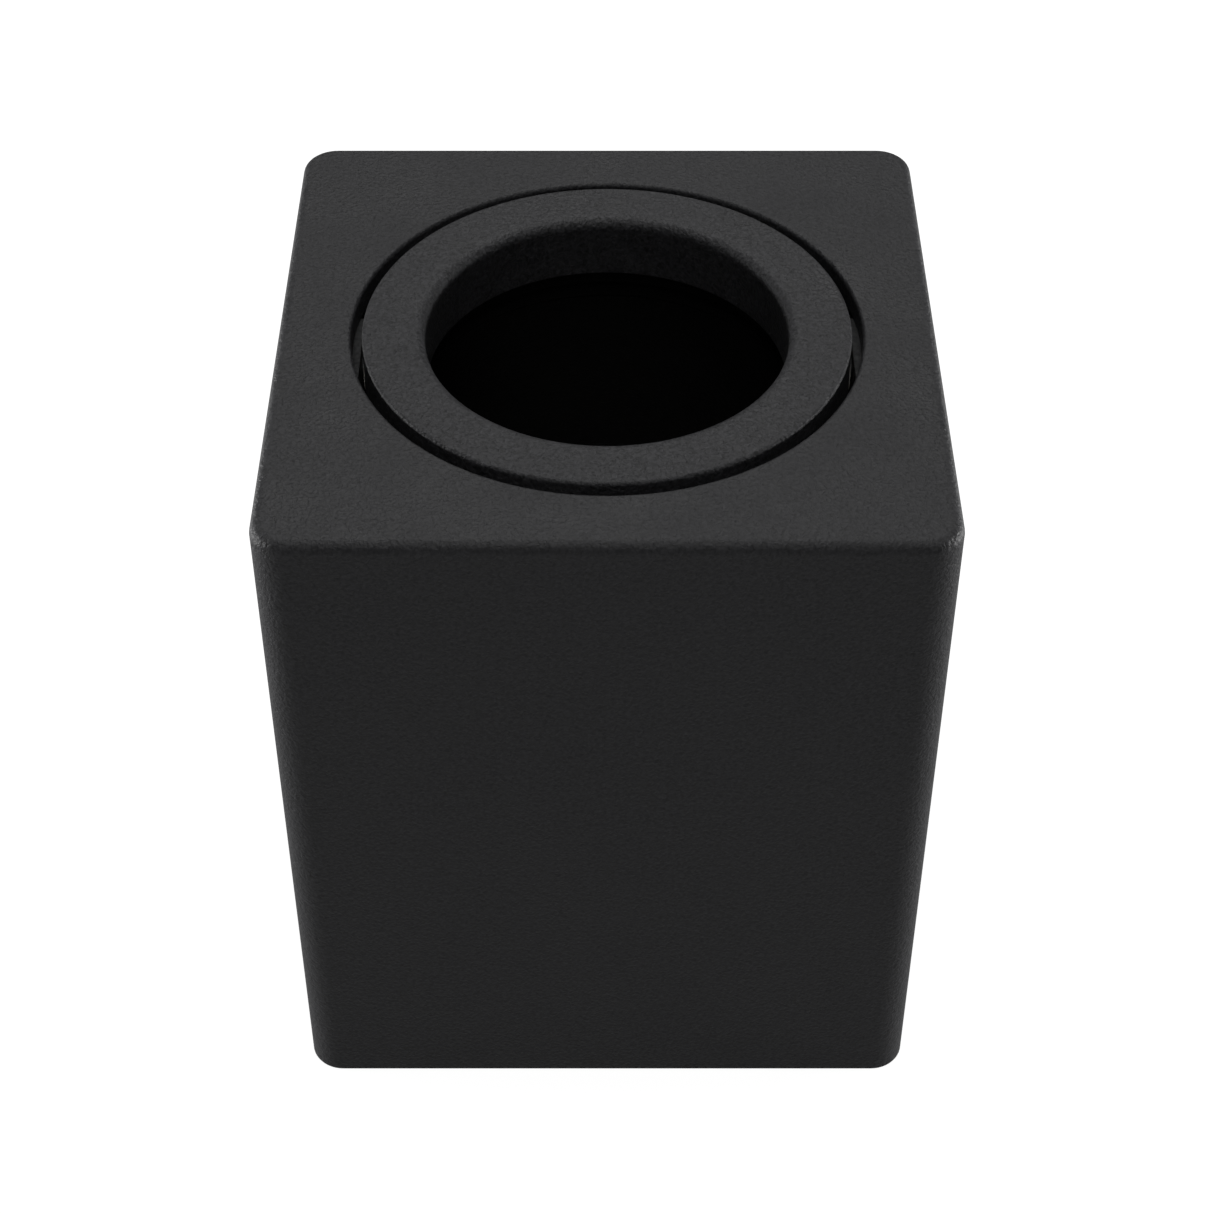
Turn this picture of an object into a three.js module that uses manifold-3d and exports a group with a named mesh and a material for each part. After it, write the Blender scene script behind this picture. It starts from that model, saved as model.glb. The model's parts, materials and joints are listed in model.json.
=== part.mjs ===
// A square surface-mounted spotlight with a round tilting ring.
// It stands on its mounting face, as on a bench: +Z is the way the light leaves, +Y is the back and
// +X the right-hand side. The origin is the centre of the mounting face. Sizes are in millimetres.
import * as THREE from "three";
import { mergeVertices } from "three/addons/utils/BufferGeometryUtils.js";
import Module from "manifold-3d";

const wasm = await Module();
wasm.setup();

// Driving dimensions.
const gap = 0.3; // clearance between pieces that sit on each other
const fine = 64; // segments round a large turned piece
const small = 20; // segments round a small one

const box = { width: 85, height: 100.5, wall: 2.5, face: 3, corner: 4.6, topEdge: 1.5 };
const innerHalf = box.width / 2 - box.wall;
const faceUnder = box.height - box.face;

const cutout = { radius: 33, edge: 0.6 }; // the round opening in the face
const ring = {
  outer: 31.6,
  bore: 23.5,
  proud: 0.4, // how far its face stands above the housing
  lip: 8.6, // depth of the bore before it steps out to the lamp seat
  side: 9.9, // height of its outer wall
  boreEdge: 1.5,
  outerEdge: 0.5,
};
const ringTop = box.height + ring.proud;
const seatZ = ringTop - ring.lip; // the lamp's rim rests here from behind
const skirt = { outer: 28.4, inner: 25.75, height: 8.8, padHalf: 6.5, padFlat: 28.6 };
const skirtBottom = seatZ - skirt.height;
const pivotZ = 94; // height of the tilt axis, which runs along X
// the thin tube behind the skirt, which hides the lamp's neck; its spigot fits up inside the skirt
const sleeve = { outer: 27.2, spigot: 26.5, spigotTop: skirtBottom + 3.2, bottom: 60 };
const socketRadius = sleeve.spigot + gap + 0.1;

const clip = { wire: 0.6, radius: 25.7, z: skirtBottom + 4.8, grooveOut: 26.8, grooveHalf: 0.9 };
const ear = { inner: 31.9, thick: 1.2, half: 6.5, drop: 7.2, reliefHalf: 3.3, reliefEnd: 37 };
const spotFace = { radius: 3.4, depth: 1.3 }; // round flat in the ring under each friction washer
const frame = { half: 38.6, thick: 1.5, opening: 34.6, stud: 34.5 };
const frameTop = faceUnder - gap;

const arm = { inner: 28.9, thick: 1.2, half: 5.5, screwZ: skirtBottom + 1.4 };
const holder = { half: 15.5, width: 17, top: 45.3, body: 13.5, cover: 2.3, screwX: 11, pinX: 5 };
const holderBottom = holder.top - holder.body;
const coverBottom = holderBottom - gap - holder.cover;
const armFloorTop = coverBottom - gap;

const plate = { half: 39.6, thick: 1.5, corner: 2.2, raise: 2, flangeHalf: 12, flangeTop: 14 };
const sideScrewZ = 8;
const block = { x: 20, half: 14.5, depth: 17, height: 14, pitch: 9.5, entryZ: 9.5 };
const blockBottom = plate.raise + plate.thick + gap;
const earth = { x: -20, y: -23 };
const slot = { y: 27, length: 14, width: 5.2 };
const lead = { radius: 1.2, exitX: 4, exitZ: holderBottom + 3 };

// Materials.
const finish = (color, roughness, metalness) =>
  new THREE.MeshStandardMaterial({ color, roughness, metalness });
const blackCoat = finish(0x2c2d2e, 0.62, 0.1);
const zincSteel = finish(0xa9adb0, 0.4, 0.9);
const blackSteel = finish(0x1d1e1f, 0.5, 0.6);
const springSteel = finish(0x8e9296, 0.32, 0.95);
const ceramic = finish(0xe9e5da, 0.55, 0);
const brass = finish(0xb8934a, 0.35, 0.9);
const nylon = finish(0xe4e2dc, 0.5, 0);
const rubber = finish(0x232323, 0.8, 0);
const brownLead = finish(0x5a3420, 0.6, 0);
const blueLead = finish(0x2a5690, 0.6, 0);
const earthLead = finish(0x7d9a2c, 0.6, 0);

// Solids and meshes.
function solidOf(geometry) {
  const bare = (geometry.index ? geometry.toNonIndexed() : geometry).clone();
  bare.deleteAttribute("normal");
  bare.deleteAttribute("uv");
  const merged = mergeVertices(bare, 1e-4);
  return new wasm.Manifold(
    new wasm.Mesh({
      numProp: 3,
      vertProperties: merged.attributes.position.array,
      triVerts: new Uint32Array(merged.index.array),
    }),
  );
}

function geometryOf(solid) {
  const data = solid.getMesh();
  const points = new Float32Array(data.numVert * 3);
  for (let i = 0; i < data.numVert; i++) {
    points.set(data.vertProperties.subarray(i * data.numProp, i * data.numProp + 3), i * 3);
  }
  return new THREE.BufferGeometry()
    .setAttribute("position", new THREE.BufferAttribute(points, 3))
    .setIndex(new THREE.BufferAttribute(data.triVerts, 1));
}

const object = new THREE.Group();

function place(name, material, solid) {
  const mesh = new THREE.Mesh(geometryOf(solid), material);
  mesh.name = name;
  object.add(mesh);
}

// A box from its lowest and highest corners.
function block3(low, high) {
  const size = high.map((h, k) => h - low[k]);
  const middle = high.map((h, k) => (h + low[k]) / 2);
  return solidOf(new THREE.BoxGeometry(...size).translate(...middle));
}

// A cylinder standing on Z, or lying along X or Y, from one end to the other.
function rod(radius, from, to, at = [0, 0], along = "z", sides = small, farRadius = radius) {
  const g = new THREE.CylinderGeometry(farRadius, radius, to - from, sides);
  g.translate(0, (from + to) / 2, 0); // three.js makes it along Y
  if (along === "z") g.rotateX(Math.PI / 2).translate(at[0], at[1], 0);
  if (along === "y") g.translate(at[0], 0, at[1]);
  if (along === "x") g.rotateZ(-Math.PI / 2).translate(0, at[0], at[1]);
  return solidOf(g);
}

// A turned piece: its outline as [radius, z] points, read so that the solid lies on its left.
function turned(outline, sides = fine) {
  const points = outline.map(([r, z]) => new THREE.Vector2(r, z));
  return solidOf(new THREE.LatheGeometry(points, sides).rotateX(Math.PI / 2));
}

// Points of a round edge about a centre, from one angle to another, in degrees.
function roundEdge(centre, radius, from, to, steps = 2) {
  return Array.from({ length: steps + 1 }, (_, i) => {
    const a = THREE.MathUtils.degToRad(from + ((to - from) * i) / steps);
    return [centre[0] + radius * Math.cos(a), centre[1] + radius * Math.sin(a)];
  });
}

function roundedRectangle(halfX, halfY, radius) {
  const s = new THREE.Shape();
  s.moveTo(-halfX + radius, -halfY);
  s.lineTo(halfX - radius, -halfY);
  s.absarc(halfX - radius, -halfY + radius, radius, -Math.PI / 2, 0);
  s.lineTo(halfX, halfY - radius);
  s.absarc(halfX - radius, halfY - radius, radius, 0, Math.PI / 2);
  s.lineTo(-halfX + radius, halfY);
  s.absarc(-halfX + radius, halfY - radius, radius, Math.PI / 2, Math.PI);
  s.lineTo(-halfX, -halfY + radius);
  s.absarc(-halfX + radius, -halfY + radius, radius, Math.PI, Math.PI * 1.5);
  return s;
}

// A flat outline raised from one height to another.
function prism(shape, from, to, curveSegments = 3) {
  const options = { depth: to - from, bevelEnabled: false, curveSegments };
  return solidOf(new THREE.ExtrudeGeometry(shape, options).translate(0, 0, from));
}

// A round tube along a smooth curve through the points.
function tube(points, radius, steps = 40, sides = 8) {
  const path = new THREE.CatmullRomCurve3(points.map((p) => new THREE.Vector3(...p)));
  const round = new THREE.Shape().absarc(0, 0, radius, 0, Math.PI * 2);
  // an arc is cut into twice as many pieces as its curve segments
  const options = { steps, extrudePath: path, bevelEnabled: false, curveSegments: sides / 2 };
  return solidOf(new THREE.ExtrudeGeometry(round, options));
}

// Both sides of the object: the same piece on -X and on +X.
const sides = [
  { name: "left", sign: -1 },
  { name: "right", sign: 1 },
];
const mirrored = (solid, sign) => (sign < 0 ? solid.mirror([1, 0, 0]) : solid);

// A pan-head or socket screw along Z: its head's underside is at z 0 and its shank runs down.
function screw({ head, headHeight, shank, length, socket = 0.45, drive = 6 }) {
  const body = rod(head / 2, 0, headHeight).add(rod(shank / 2, -length, 0.01, [0, 0], "z", 12));
  const recess = rod(head * socket * 0.5, headHeight * 0.45, headHeight + 1, [0, 0], "z", drive);
  return body.subtract(recess);
}

// Housing.
function housing() {
  const { width, height, corner, topEdge } = box;
  const inset = width / 2 - topEdge;
  const outline = roundedRectangle(inset, inset, corner - topEdge);
  const rounded = new THREE.ExtrudeGeometry(outline, {
    depth: height, // its lower round edge falls below the mounting face and is cut off
    bevelSize: topEdge,
    bevelThickness: topEdge,
    bevelSegments: 3,
    curveSegments: 3,
  }).translate(0, 0, -topEdge);
  const below = block3([-width, -width, -20], [width, width, 0]);
  const cavity = prism(
    roundedRectangle(innerHalf, innerHalf, corner - box.wall),
    -1,
    faceUnder,
  );
  const r = cutout.radius;
  const e = cutout.edge;
  const opening = turned([
    [0, faceUnder - 1],
    [r, faceUnder - 1],
    ...roundEdge([r + e, height - e], e, 180, 90),
    [r + e, height + 1],
    [0, height + 1],
  ]);
  let shell = solidOf(rounded).subtract(below).subtract(cavity).subtract(opening);
  for (const [x, y] of corners(frame.stud)) {
    shell = shell.add(rod(1.5, faceUnder - 5, faceUnder + 0.5, [x, y], "z", 12));
  }
  for (const { sign } of sides) {
    const outer = width / 2;
    const hole = rod(1.8, innerHalf - 1, outer + 1, [0, sideScrewZ], "x");
    const sink = rod(1.8, outer - 1.6, outer + 0.1, [0, sideScrewZ], "x", small, 3.5);
    shell = shell.subtract(mirrored(hole.add(sink), sign));
  }
  place("housing_shell", blackCoat, shell);
}

const corners = (d) => [
  [d, d],
  [-d, d],
  [-d, -d],
  [d, -d],
];

// The stamped frame under the face: its two ears carry the tilt pivots.
function pivotFrame() {
  const low = frameTop - frame.thick;
  let sheet = prism(roundedRectangle(frame.half, frame.half, 2), low, frameTop);
  sheet = sheet.subtract(rod(frame.opening, low - 1, frameTop + 1, [0, 0], "z", fine));
  for (const [x, y] of corners(frame.stud)) {
    sheet = sheet.subtract(rod(1.8, low - 1, frameTop + 1, [x, y], "z", 12));
  }
  for (const { sign } of sides) {
    const outside = ear.inner + ear.thick;
    const tongue = block3([ear.inner, -ear.half, low], [frame.opening + 1, ear.half, frameTop]);
    const flap = block3(
      [ear.inner, -ear.half, frameTop - ear.drop],
      [outside, ear.half, frameTop],
    );
    const relief = block3(
      [outside, -ear.reliefHalf, low - 1],
      [ear.reliefEnd, ear.reliefHalf, frameTop + 1],
    );
    const hole = rod(1.8, ear.inner - 1, outside + 1, [0, pivotZ], "x");
    sheet = sheet.add(mirrored(tongue.add(flap), sign));
    sheet = sheet.subtract(mirrored(relief.add(hole), sign));
  }
  place("pivot_frame", blackSteel, sheet);

  corners(frame.stud).forEach(([x, y], i) => {
    const top = low - gap;
    const nut = rod(3.4, top - 1, top, [x, y]).subtract(
      rod(1.8, top - 2, top + 1, [x, y], "z", 12),
    );
    place(`push_nut_${i + 1}`, springSteel, nut);
  });
}

// Tilting ring.
function tiltRing() {
  const { outer, bore, boreEdge, outerEdge, side } = ring;
  const { z, grooveOut, grooveHalf } = clip;
  let body = turned([
    [bore, seatZ],
    [skirt.inner, seatZ],
    [skirt.inner, z + grooveHalf],
    [grooveOut, z + grooveHalf],
    [grooveOut, z - grooveHalf],
    [skirt.inner, z - grooveHalf],
    [skirt.inner, sleeve.spigotTop + gap],
    [socketRadius, sleeve.spigotTop + gap],
    [socketRadius, skirtBottom],
    [skirt.outer, skirtBottom],
    [skirt.outer, ringTop - side],
    [outer, ringTop - side],
    ...roundEdge([outer - outerEdge, ringTop - outerEdge], outerEdge, 0, 90),
    ...roundEdge([bore + boreEdge, ringTop - boreEdge], boreEdge, 90, 180, 3),
    [bore, seatZ],
  ]);
  for (const { sign } of sides) {
    const pad = block3(
      [skirt.inner + 0.8, -skirt.padHalf, skirtBottom],
      [skirt.padFlat, skirt.padHalf, z - grooveHalf],
    ).subtract(rod(socketRadius, skirtBottom - 1, z, [0, 0], "z", fine));
    const pivotHole = rod(1.8, 26.8, outer + 1, [0, pivotZ], "x");
    const spot = rod(spotFace.radius, outer - spotFace.depth, outer + 1, [0, pivotZ], "x");
    const armHole = rod(1.55, skirt.inner - 1, skirt.padFlat + 1, [0, arm.screwZ], "x", 12);
    body = body.add(mirrored(pad, sign));
    body = body.subtract(mirrored(pivotHole.add(spot).add(armHole), sign));
  }
  place("tilt_ring", blackCoat, body);
}

// The tube behind the skirt, held by the tips of the two bracket screws.
function lampSleeve() {
  const { outer, spigot, spigotTop, bottom } = sleeve;
  let tubeBody = turned([
    [skirt.inner, bottom],
    [outer, bottom],
    [outer, skirtBottom - gap],
    [spigot, skirtBottom - gap],
    [spigot, spigotTop],
    [skirt.inner, spigotTop],
    [skirt.inner, bottom],
  ]);
  for (const { sign } of sides) {
    const tipHole = rod(1.5, skirt.inner - 1, spigot + 1, [0, arm.screwZ], "x", 12);
    tubeBody = tubeBody.subtract(mirrored(tipHole, sign));
  }
  place("lamp_sleeve", blackCoat, tubeBody);
}

// Each pivot is a shoulder screw through the ear into the ring, with a friction washer in the gap.
function pivots() {
  for (const { name, sign } of sides) {
    const seat = ring.outer - spotFace.depth;
    const washer = rod(3, seat + gap, ear.inner - gap, [0, pivotZ], "x").subtract(
      rod(1.8, seat, ear.inner, [0, pivotZ], "x"),
    );
    place(`friction_washer_${name}`, nylon, mirrored(washer, sign));

    const outside = ear.inner + ear.thick;
    const spring = rod(2.9, outside + gap, outside + gap + 0.6, [0, pivotZ], "x").subtract(
      rod(1.8, outside, outside + 2, [0, pivotZ], "x"),
    );
    place(`spring_washer_${name}`, springSteel, mirrored(spring, sign));

    const headFrom = outside + gap + 0.6 + gap;
    const bolt = screw({ head: 5.4, headHeight: 1.8, shank: 3, length: headFrom - 27.2 })
      .rotate([0, 90, 0])
      .translate([headFrom, 0, pivotZ]);
    place(`pivot_screw_${name}`, springSteel, mirrored(bolt, sign));
  }
}

// The sprung wire that holds the lamp's rim in the seat. Its two ends turn down as finger tabs.
function lampClip() {
  const { radius, z, wire } = clip;
  const opening = 80; // degrees each side of the back, so that it can be squeezed out
  const steps = 14;
  const points = [];
  for (let i = 0; i <= steps; i++) {
    const a = THREE.MathUtils.degToRad(90 + opening + ((360 - 2 * opening) * i) / steps);
    points.push([radius * Math.cos(a), radius * Math.sin(a), z]);
  }
  const tab = (p, drop, inward) => [p[0] * inward, p[1] * inward, z - drop];
  const first = points[0];
  const last = points[steps];
  const path = [
    tab(first, 5.5, 0.9),
    tab(first, 2, 0.93),
    ...points,
    tab(last, 2, 0.93),
    tab(last, 5.5, 0.9),
  ];
  place("lamp_clip", springSteel, tube(path, wire, 36, 6));
}

// Lamp holder and its bracket.
function lampBracket() {
  const low = armFloorTop - arm.thick;
  const outside = arm.inner + arm.thick;
  const top = ringTop - ring.side - gap;
  let strip = block3([-outside, -arm.half, low], [outside, arm.half, top]).subtract(
    block3([-arm.inner, -arm.half - 1, armFloorTop], [arm.inner, arm.half + 1, top + 1]),
  );
  for (const { sign } of sides) {
    const armHole = rod(1.55, arm.inner - 1, outside + 1, [0, arm.screwZ], "x", 12);
    const window = rod(2.6, arm.inner - 1, outside + 1, [0, 58], "x"); // lightening holes
    const floorHole = rod(1.8, low - 1, armFloorTop + 1, [holder.screwX, 0], "z", 12);
    strip = strip.subtract(mirrored(armHole.add(window).add(floorHole), sign));
  }
  place("lamp_bracket", blackSteel, strip);

  for (const { name, sign } of sides) {
    const bolt = screw({ head: 4.6, headHeight: 1.6, shank: 2.4, length: 4.3 })
      .rotate([0, 90, 0])
      .translate([outside + gap, 0, arm.screwZ]);
    place(`bracket_screw_${name}`, blackSteel, mirrored(bolt, sign));
  }
}

function obround(half, width) {
  return roundedRectangle(half, width / 2, width / 2 - 0.01);
}

// The bayonet slot for one lamp pin: a round entry, a narrow twist slot and a wide chamber below.
function pinSlot(sign) {
  const top = holder.top;
  const at = (degrees) => {
    const a = THREE.MathUtils.degToRad(degrees);
    return [sign * holder.pinX * Math.cos(a), sign * holder.pinX * Math.sin(a)];
  };
  let cut = rod(2.9, top - 9.5, top + 1, at(0));
  for (const turn of [12, 24, 36]) {
    cut = cut.add(rod(1.7, top - 9.5, top + 1, at(turn)));
    cut = cut.add(rod(2.7, top - 9.5, top - 3, at(turn)));
  }
  return cut;
}

function lampHolder() {
  const { half, width, top, screwX } = holder;
  let body = prism(obround(half, width), holderBottom, top, 6);
  body = body.subtract(pinSlot(1)).subtract(pinSlot(-1));
  for (const { sign } of sides) {
    const through = rod(1.8, holderBottom - 1, top + 1, [screwX, 0], "z", 12);
    const recess = rod(3.3, top - 3.2, top + 1, [screwX, 0]);
    body = body.subtract(mirrored(through.add(recess), sign));
    // a lead's port opens through the side that it leaves by
    const exit = [sign * lead.exitX, lead.exitZ];
    const [from, to] = sign > 0 ? [2, width / 2 + 1] : [-width / 2 - 1, -2];
    body = body.subtract(rod(1.6, from, to, exit, "y", 12));
  }
  place("holder_body", ceramic, body);

  let cover = prism(obround(half - 0.4, width - 0.8), coverBottom, holderBottom - gap, 6);
  for (const { sign } of sides) {
    const hole = rod(1.8, coverBottom - 1, holderBottom, [screwX, 0], "z", 12);
    cover = cover.subtract(mirrored(hole, sign));
  }
  place("holder_cover", ceramic, cover);

  for (const { name, sign } of sides) {
    const bolt = screw({ head: 5.2, headHeight: 1.8, shank: 2.8, length: 20 });
    place(`holder_screw_${name}`, zincSteel, bolt.translate([sign * screwX, 0, top - 2.9]));
    const nutTop = armFloorTop - arm.thick - gap;
    const nut = rod(3.1, nutTop - 2.2, nutTop, [0, 0], "z", 6)
      .subtract(rod(1.7, nutTop - 3, nutTop + 1, [0, 0], "z", 12))
      .translate([sign * screwX, 0, 0]);
    place(`holder_nut_${name}`, zincSteel, nut);

    // a folded contact leaf at the foot of the pin's chamber
    const foot = top - 9.5 + gap;
    const leaf = block3([-1.6, -1.1, foot], [1.6, 1.1, foot + 0.5])
      .add(block3([1.1, -1.1, foot], [1.6, 1.1, foot + 4.5]))
      .rotate([0, 0, sign > 0 ? 0 : 180])
      .translate([sign * holder.pinX, 0, 0]);
    place(`contact_leaf_${name}`, brass, leaf);
  }
}

// Mounting plate and terminals.
function mountingPlate() {
  const { half, thick, raise, corner } = plate;
  let sheet = prism(roundedRectangle(half, half, corner), 0, thick);
  // three raised places leave room for what passes under the sheet
  const raised = [
    {
      solid: rod(14, 0, raise + thick, [0, 0], "z", 32),
      hollow: rod(12.5, -1, raise, [0, 0], "z", 32),
    },
    {
      solid: rod(7.5, 0, raise + thick, [earth.x, earth.y]),
      hollow: rod(6, -1, raise, [earth.x, earth.y]),
    },
    {
      solid: block3([block.x - 4.5, -10, 0], [block.x + 7.5, 10, raise + thick]),
      hollow: block3([block.x - 3, -8.5, -1], [block.x + 6, 8.5, raise]),
    },
  ];
  for (const { solid, hollow } of raised) sheet = sheet.add(solid).subtract(hollow);
  sheet = sheet.subtract(rod(8, -1, 10, [0, 0], "z", 32));
  sheet = sheet.subtract(rod(2.3, -1, 10, [earth.x, earth.y]));
  sheet = sheet.subtract(rod(1.8, -1, 10, [block.x + 1.5, 0], "z", 12));
  for (const y of [-slot.y, slot.y]) {
    const long = prism(obround(slot.length / 2, slot.width), -1, 5, 4).translate([0, y, 0]);
    sheet = sheet.subtract(long);
  }
  for (const { sign } of sides) {
    const flange = block3(
      [half - thick, -plate.flangeHalf, 0],
      [half, plate.flangeHalf, plate.flangeTop],
    );
    const hole = rod(1.8, half - 3, half + 1, [0, sideScrewZ], "x");
    sheet = sheet.add(mirrored(flange, sign)).subtract(mirrored(hole, sign));
  }
  place("mounting_plate", zincSteel, sheet);

  for (const { name, sign } of sides) {
    const outer = box.width / 2;
    const head = rod(1.5, outer - 1.5, outer - 0.1, [0, sideScrewZ], "x", small, 3.1);
    const shank = rod(1.5, 35, outer - 1.4, [0, sideScrewZ], "x", 12);
    const drive = rod(1.1, outer - 1.1, outer + 1, [0, sideScrewZ], "x", 6);
    place(`side_screw_${name}`, blackSteel, mirrored(head.add(shank).subtract(drive), sign));
  }

  const low = raise;
  const high = raise + thick;
  place(
    "cable_grommet",
    rubber,
    turned(
      [
        [5, low - 1.5],
        [9.6, low - 1.5],
        [10, low - gap],
        [8 - gap, low - gap],
        [8 - gap, high + gap],
        [10.4, high + gap],
        [9.8, high + 2],
        [5, high + 2.6],
        [5, low - 1.5],
      ],
      32,
    ),
  );
}

function terminalBlock() {
  const { x, half, depth, height, pitch, entryZ } = block;
  const top = blockBottom + height;
  let body = block3([x - depth / 2, -half, blockBottom], [x + depth / 2, half, top]);
  const between = [-pitch / 2, pitch / 2];
  for (const y of between) {
    body = body.subtract(block3([x - depth, y - 0.6, top - 7], [x - 3.2, y + 0.6, top + 1]));
    body = body.subtract(block3([x + 3.2, y - 0.6, top - 7], [x + depth, y + 0.6, top + 1]));
  }
  const screwX = x + 1.5;
  const fixing = rod(1.8, blockBottom - 1, top + 1, [screwX, 0], "z", 12);
  const fixingHead = rod(3, blockBottom + 6, top + 1, [screwX, 0]);
  [-pitch, 0, pitch].forEach((y, i) => {
    const earthPole = i === 1;
    const through = rod(2.5, x - depth, x + depth, [y, entryZ], "x");
    const slice = block3([screwX - 3.4, -3.4, entryZ - 4], [screwX + 3.4, 3.4, entryZ + 4]);
    body = body.subtract(earthPole ? through.subtract(slice) : through);
    for (const sx of [-5.6, 5.6]) {
      body = body.subtract(rod(2.1, entryZ, top + 1, [x + sx, y], "z", 12));
    }
  });
  body = body.subtract(fixing).subtract(fixingHead);
  place("terminal_block", nylon, body);
  const bolt = screw({ head: 5.2, headHeight: 2, shank: 2.8, length: 8.2 });
  place("terminal_fixing_screw", zincSteel, bolt.translate([screwX, 0, blockBottom + 6.3]));

  ["live", "earth", "neutral"].forEach((pole, i) => {
    const y = [pitch, 0, -pitch][i];
    for (const sx of [-5.6, 5.6]) {
      const clampScrew = screw({ head: 3.4, headHeight: 1.4, shank: 2.4, length: 3, drive: 4 });
      const side = sx < 0 ? "supply" : "lamp";
      const z = entryZ + 5.2;
      place(`clamp_screw_${pole}_${side}`, brass, clampScrew.translate([x + sx, y, z]));
    }
  });
}

// The earth stud on the plate: screw from below, toothed washer, ring terminal and nut.
function earthStud() {
  const { x, y } = earth;
  const at = [x, y];
  const head = rod(3.5, gap, plate.raise - gap, at, "z", small);
  place("earth_stud", zincSteel, head.add(rod(2, 1, 13, at, "z", 12)));
  const washerLow = plate.raise + plate.thick + gap;
  const washer = rod(4.6, washerLow, washerLow + 0.7, at).subtract(rod(2.3, 0, 20, at));
  place("earth_washer", springSteel, washer);
  const tagLow = washerLow + 0.7 + gap;
  const tag = rod(4.2, tagLow, tagLow + 0.8, at)
    .add(block3([x, y - 1.8, tagLow], [x + 8, y + 1.8, tagLow + 0.8]))
    .add(rod(1.9, x + 6.5, x + 11.5, [y, tagLow + 1.2], "x", 12))
    .subtract(rod(1.5, x + 6, x + 12, [y, tagLow + 1.2], "x", 12))
    .subtract(rod(2.3, 0, 20, at));
  place("earth_tag", zincSteel, tag);
  const nutLow = tagLow + 0.8 + gap;
  const nut = rod(4, nutLow, nutLow + 3, at, "z", 6).subtract(rod(2.3, 0, 20, at));
  place("earth_nut", zincSteel, nut);
  return tagLow + 1.2;
}

// The two lamp leads leave the holder on opposite sides and hang in a slack loop to the block.
function leads(tagZ) {
  const entry = block.x + block.depth / 2;
  const slack = (sign) => [
    [sign * lead.exitX, sign * 4.2, lead.exitZ],
    [sign * lead.exitX, sign * 9.5, lead.exitZ],
    [sign * lead.exitX + 2.5, sign * 14.5, lead.exitZ - 3.5],
    [sign * lead.exitX + 9, sign * 18.5, lead.exitZ - 9.5],
    [22, sign * 19.5, 21],
    [30, sign * 17, 19],
    [34.5, sign * 12.5, 16],
    [35, sign * 9.9, 12],
    [32.4, sign * block.pitch, block.entryZ + 0.3],
    [entry - 2, sign * block.pitch, block.entryZ],
  ];
  place("lead_live", brownLead, tube(slack(1), lead.radius));
  place("lead_neutral", blueLead, tube(slack(-1), lead.radius));
  const bond = [
    [entry - 2, 0, block.entryZ],
    [entry + 3, -0.6, block.entryZ - 0.2],
    [34.4, -5, 7.4],
    [34, -12, 5.2],
    [28, -20, 4.6],
    [14, -25.5, 4.6],
    [2, -24.6, 5.4],
    [-5, earth.y, tagZ],
    [earth.x + 8, earth.y, tagZ],
  ];
  place("lead_earth", earthLead, tube(bond, lead.radius));
}

housing();
pivotFrame();
tiltRing();
lampSleeve();
pivots();
lampClip();
lampBracket();
lampHolder();
mountingPlate();
terminalBlock();
leads(earthStud());

export default object;
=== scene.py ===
import json
import math

import bmesh
import bpy
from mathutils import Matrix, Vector


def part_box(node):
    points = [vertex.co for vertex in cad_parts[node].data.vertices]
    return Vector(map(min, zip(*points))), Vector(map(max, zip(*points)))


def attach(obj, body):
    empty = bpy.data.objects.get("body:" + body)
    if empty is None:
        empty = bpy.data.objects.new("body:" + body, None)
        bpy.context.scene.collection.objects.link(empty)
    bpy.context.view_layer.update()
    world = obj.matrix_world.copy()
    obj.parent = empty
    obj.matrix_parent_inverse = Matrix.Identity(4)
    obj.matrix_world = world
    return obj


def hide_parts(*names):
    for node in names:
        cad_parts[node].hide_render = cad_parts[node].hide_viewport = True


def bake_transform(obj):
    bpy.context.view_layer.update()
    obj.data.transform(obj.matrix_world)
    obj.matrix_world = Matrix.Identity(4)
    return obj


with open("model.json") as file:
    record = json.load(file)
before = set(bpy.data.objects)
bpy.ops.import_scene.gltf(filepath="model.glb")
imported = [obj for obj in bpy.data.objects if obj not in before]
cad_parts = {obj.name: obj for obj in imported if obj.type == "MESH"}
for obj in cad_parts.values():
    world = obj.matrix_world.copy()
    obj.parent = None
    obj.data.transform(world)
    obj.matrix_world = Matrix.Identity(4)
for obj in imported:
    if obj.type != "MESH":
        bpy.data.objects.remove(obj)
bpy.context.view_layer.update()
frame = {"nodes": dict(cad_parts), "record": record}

# A square surface spotlight with a tilting ring, black powder coat outside and wired inside.
# Sizes in the dictionaries are millimetres; the meshes are metres.
mm = 0.001
nodes = frame["nodes"]
print("stage 1: frame loaded,", len(nodes), "nodes")


# small helpers round the operators
def deselectAll():
    if bpy.context.object and bpy.context.object.mode != "OBJECT":
        bpy.ops.object.mode_set(mode="OBJECT")
    bpy.ops.object.select_all(action="DESELECT")


def workOn(piece):
    deselectAll()
    piece.select_set(True)
    bpy.context.view_layer.objects.active = piece


def nameNew(name):
    piece = bpy.context.object
    piece.name = name
    piece.data.name = name
    return piece


# selects the vertices, edges or faces that pass the test; the piece is in edit mode
def choose(piece, kind, test):
    bpy.ops.mesh.select_mode(type=kind)
    bpy.ops.mesh.select_all(action="DESELECT")
    cage = bmesh.from_edit_mesh(piece.data)
    parts = {"VERT": cage.verts, "EDGE": cage.edges, "FACE": cage.faces}[kind]
    for part in parts:
        if test(part):
            part.select_set(True)
    cage.select_flush_mode()
    bmesh.update_edit_mesh(piece.data)


def applyPlace(piece):
    workOn(piece)
    bpy.ops.object.transform_apply(location=True, rotation=True, scale=True)
    return piece


def addModifier(piece, kind, **settings):
    workOn(piece)
    modifier = piece.modifiers.new(kind.title(), kind)
    for key, value in settings.items():
        setattr(modifier, key, value)
    bpy.ops.object.modifier_apply(modifier=modifier.name)


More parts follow.
